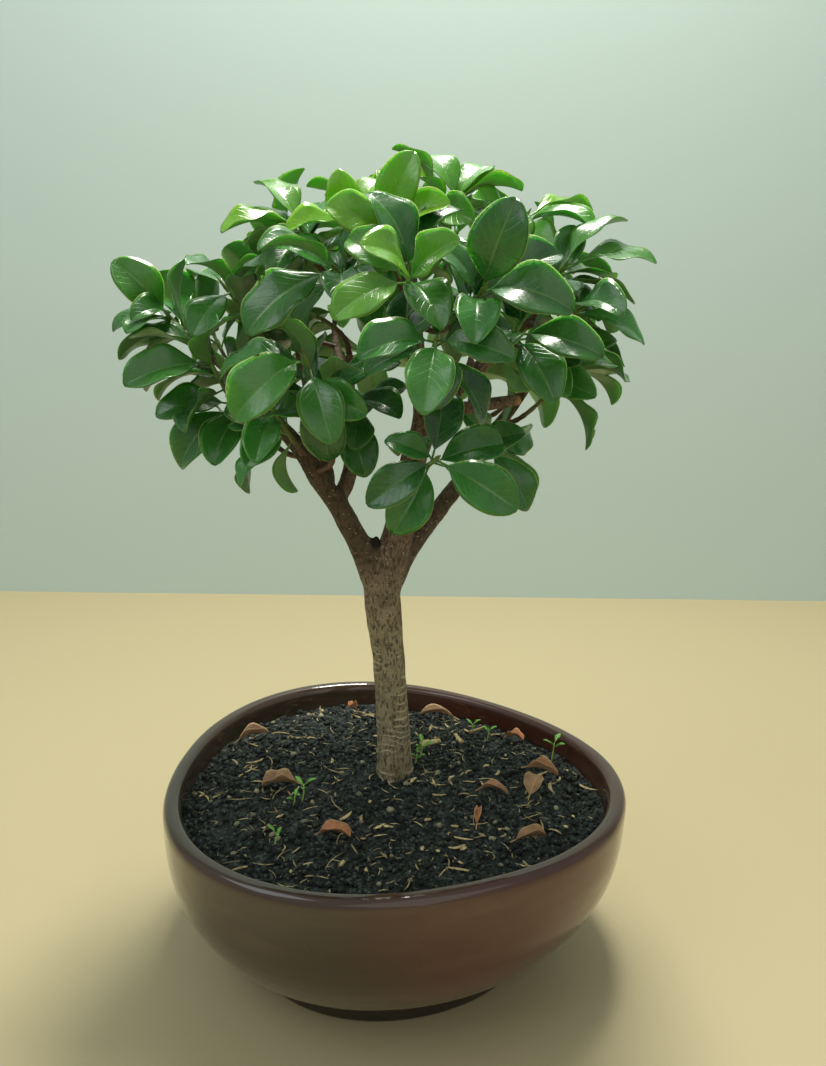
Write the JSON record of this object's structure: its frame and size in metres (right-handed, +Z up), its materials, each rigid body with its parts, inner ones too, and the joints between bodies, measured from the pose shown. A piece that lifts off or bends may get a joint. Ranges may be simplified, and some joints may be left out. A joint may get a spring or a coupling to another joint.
{
  "type": "bonsai tree in a pot",
  "caption": "Small fig bonsai with a forked trunk and a dense rounded crown of glossy leaves, planted in a low glazed bowl of dark soil with dry leaves on it.",
  "frame": {"origin": "middle of the pot's flat foot, on the surface that it stands on", "axes": "+Z up along the trunk, +X to the right and -Y to the front, the side that is shown"},
  "size_m": [0.2454, 0.2305, 0.3902],
  "materials": {
    "glaze": "gloss",
    "soil": "matte",
    "bark": "matte",
    "leaf": "satin",
    "young_leaf": "satin",
    "dry_leaf": "matte",
    "dead_wood": "matte",
    "sprout": "matte"
  },
  "bodies": {
    "root": {"fallen_leaf_1": "dry_leaf", "fallen_leaf_10": "dry_leaf", "fallen_leaf_11": "dry_leaf", "fallen_leaf_2": "dry_leaf", "fallen_leaf_3": "dry_leaf", "fallen_leaf_4": "dry_leaf", "fallen_leaf_5": "dry_leaf", "fallen_leaf_6": "dry_leaf", "fallen_leaf_7": "dry_leaf", "fallen_leaf_8": "dry_leaf", "fallen_leaf_9": "dry_leaf", "pot": "glaze", "shoot_back_far_left": "leaf", "shoot_back_far_right": "leaf", "shoot_back_left_inner": "leaf", "shoot_back_left_outer": "leaf", "shoot_back_middle_high": "leaf", "shoot_back_right_high": "leaf", "shoot_back_top_far_right": "leaf", "shoot_back_top_left": "young_leaf", "shoot_back_top_middle": "young_leaf", "shoot_back_top_right": "young_leaf", "shoot_front_bud": "leaf", "shoot_front_centre": "leaf", "shoot_front_left": "leaf", "shoot_front_upper": "young_leaf", "shoot_inner_left": "leaf", "shoot_left_drop": "leaf", "shoot_left_high": "leaf", "shoot_left_low": "leaf", "shoot_left_tip": "leaf", "shoot_left_under": "leaf", "shoot_low_back_far_left": "leaf", "shoot_low_back_left": "leaf", "shoot_low_back_middle": "leaf", "shoot_low_back_outer_right": "leaf", "shoot_low_back_right": "leaf", "shoot_low_far_right": "leaf", "shoot_low_front": "leaf", "shoot_low_right": "leaf", "shoot_middle_left": "leaf", "shoot_middle_right": "leaf", "shoot_right_front": "leaf", "shoot_right_low": "leaf", "shoot_right_middle": "leaf", "shoot_right_shoulder": "leaf", "shoot_right_top": "young_leaf", "shoot_top_centre": "young_leaf", "shoot_top_left": "young_leaf", "shoot_top_middle_left": "young_leaf", "shoot_top_right": "young_leaf", "shoot_upper_left": "leaf", "soil": "soil", "sprout_1": "sprout", "sprout_2": "sprout", "sprout_3": "sprout", "tree": "bark", "twig": "dead_wood", "wood_chip_1": "dead_wood", "wood_chip_2": "dead_wood"}
  },
  "joints": []
}
